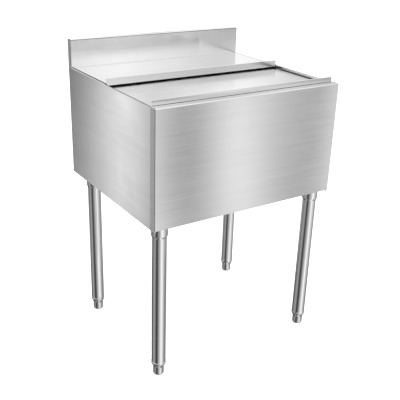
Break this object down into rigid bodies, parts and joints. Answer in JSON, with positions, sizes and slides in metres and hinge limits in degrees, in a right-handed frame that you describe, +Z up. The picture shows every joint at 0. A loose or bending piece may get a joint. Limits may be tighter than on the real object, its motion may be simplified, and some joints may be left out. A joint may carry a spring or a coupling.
{
  "type": "ice bin",
  "caption": "Insulated stainless ice bin on four tube legs, with a boxed backsplash and two covers with upturned lips, the front one sliding back under the rear one.",
  "frame": {"origin": "centre of the footprint, on the floor, at the bottom of the bounding box", "axes": "+X to the right seen from the front, +Y to the back where the backsplash stands, +Z up"},
  "size_m": [0.61, 0.535, 0.905],
  "materials": {
    "stainless_brushed": "satin",
    "stainless_dull": "matte",
    "tube_steel": "polished",
    "foot_steel": "satin",
    "fastener_steel": "satin",
    "nut_brass": "satin",
    "rail_plastic": "matte",
    "black_rubber": "matte",
    "foam": "matte"
  },
  "bodies": {
    "bin": {"apron": "stainless_brushed", "side_panel_left": "stainless_brushed", "side_panel_right": "stainless_brushed", "back_panel": "stainless_dull", "back_rivets": "fastener_steel", "bottom_panel": "stainless_dull", "liner": "stainless_brushed", "insulation": "foam", "backsplash": "stainless_brushed", "splash_end_caps": "stainless_brushed", "cover_rail_left": "rail_plastic", "cover_rail_right": "rail_plastic", "rail_rivets": "fastener_steel", "cover_bumpers": "black_rubber", "false_bottom": "stainless_brushed", "drain_body": "stainless_dull", "drain_strainer": "stainless_brushed", "drain_gasket": "black_rubber", "drain_washer": "fastener_steel", "drain_nut": "nut_brass", "channel_front": "stainless_dull", "channel_rear": "stainless_dull", "leg_sockets": "stainless_dull", "socket_bolts": "fastener_steel", "socket_nuts": "fastener_steel", "set_screws": "fastener_steel", "leg_front_left": "tube_steel", "leg_front_right": "tube_steel", "leg_rear_left": "tube_steel", "leg_rear_right": "tube_steel", "leg_inserts": "foot_steel"},
    "front_cover_body": {"front_cover": "stainless_brushed"},
    "rear_cover_body": {"rear_cover": "stainless_brushed"},
    "foot_fl": {"foot_front_left": "foot_steel"},
    "foot_fr": {"foot_front_right": "foot_steel"},
    "foot_rl": {"foot_rear_left": "foot_steel"},
    "foot_rr": {"foot_rear_right": "foot_steel"}
  },
  "joints": [
    {"name": "front_cover_slide", "type": "slide", "parent": "bin", "child": "front_cover_body", "axis": [0, 1, 0], "range_m": [0, 0.216]},
    {"name": "rear_cover_lift", "type": "slide", "parent": "bin", "child": "rear_cover_body", "axis": [0, 0, 1], "range_m": [0, 0.15]},
    {"name": "foot_screw_fl", "type": "slide", "parent": "bin", "child": "foot_fl", "axis": [0, 0, -1], "range_m": [0, 0.025]},
    {"name": "foot_screw_fr", "type": "slide", "parent": "bin", "child": "foot_fr", "axis": [0, 0, -1], "range_m": [0, 0.025]},
    {"name": "foot_screw_rl", "type": "slide", "parent": "bin", "child": "foot_rl", "axis": [0, 0, -1], "range_m": [0, 0.025]},
    {"name": "foot_screw_rr", "type": "slide", "parent": "bin", "child": "foot_rr", "axis": [0, 0, -1], "range_m": [0, 0.025]}
  ]
}
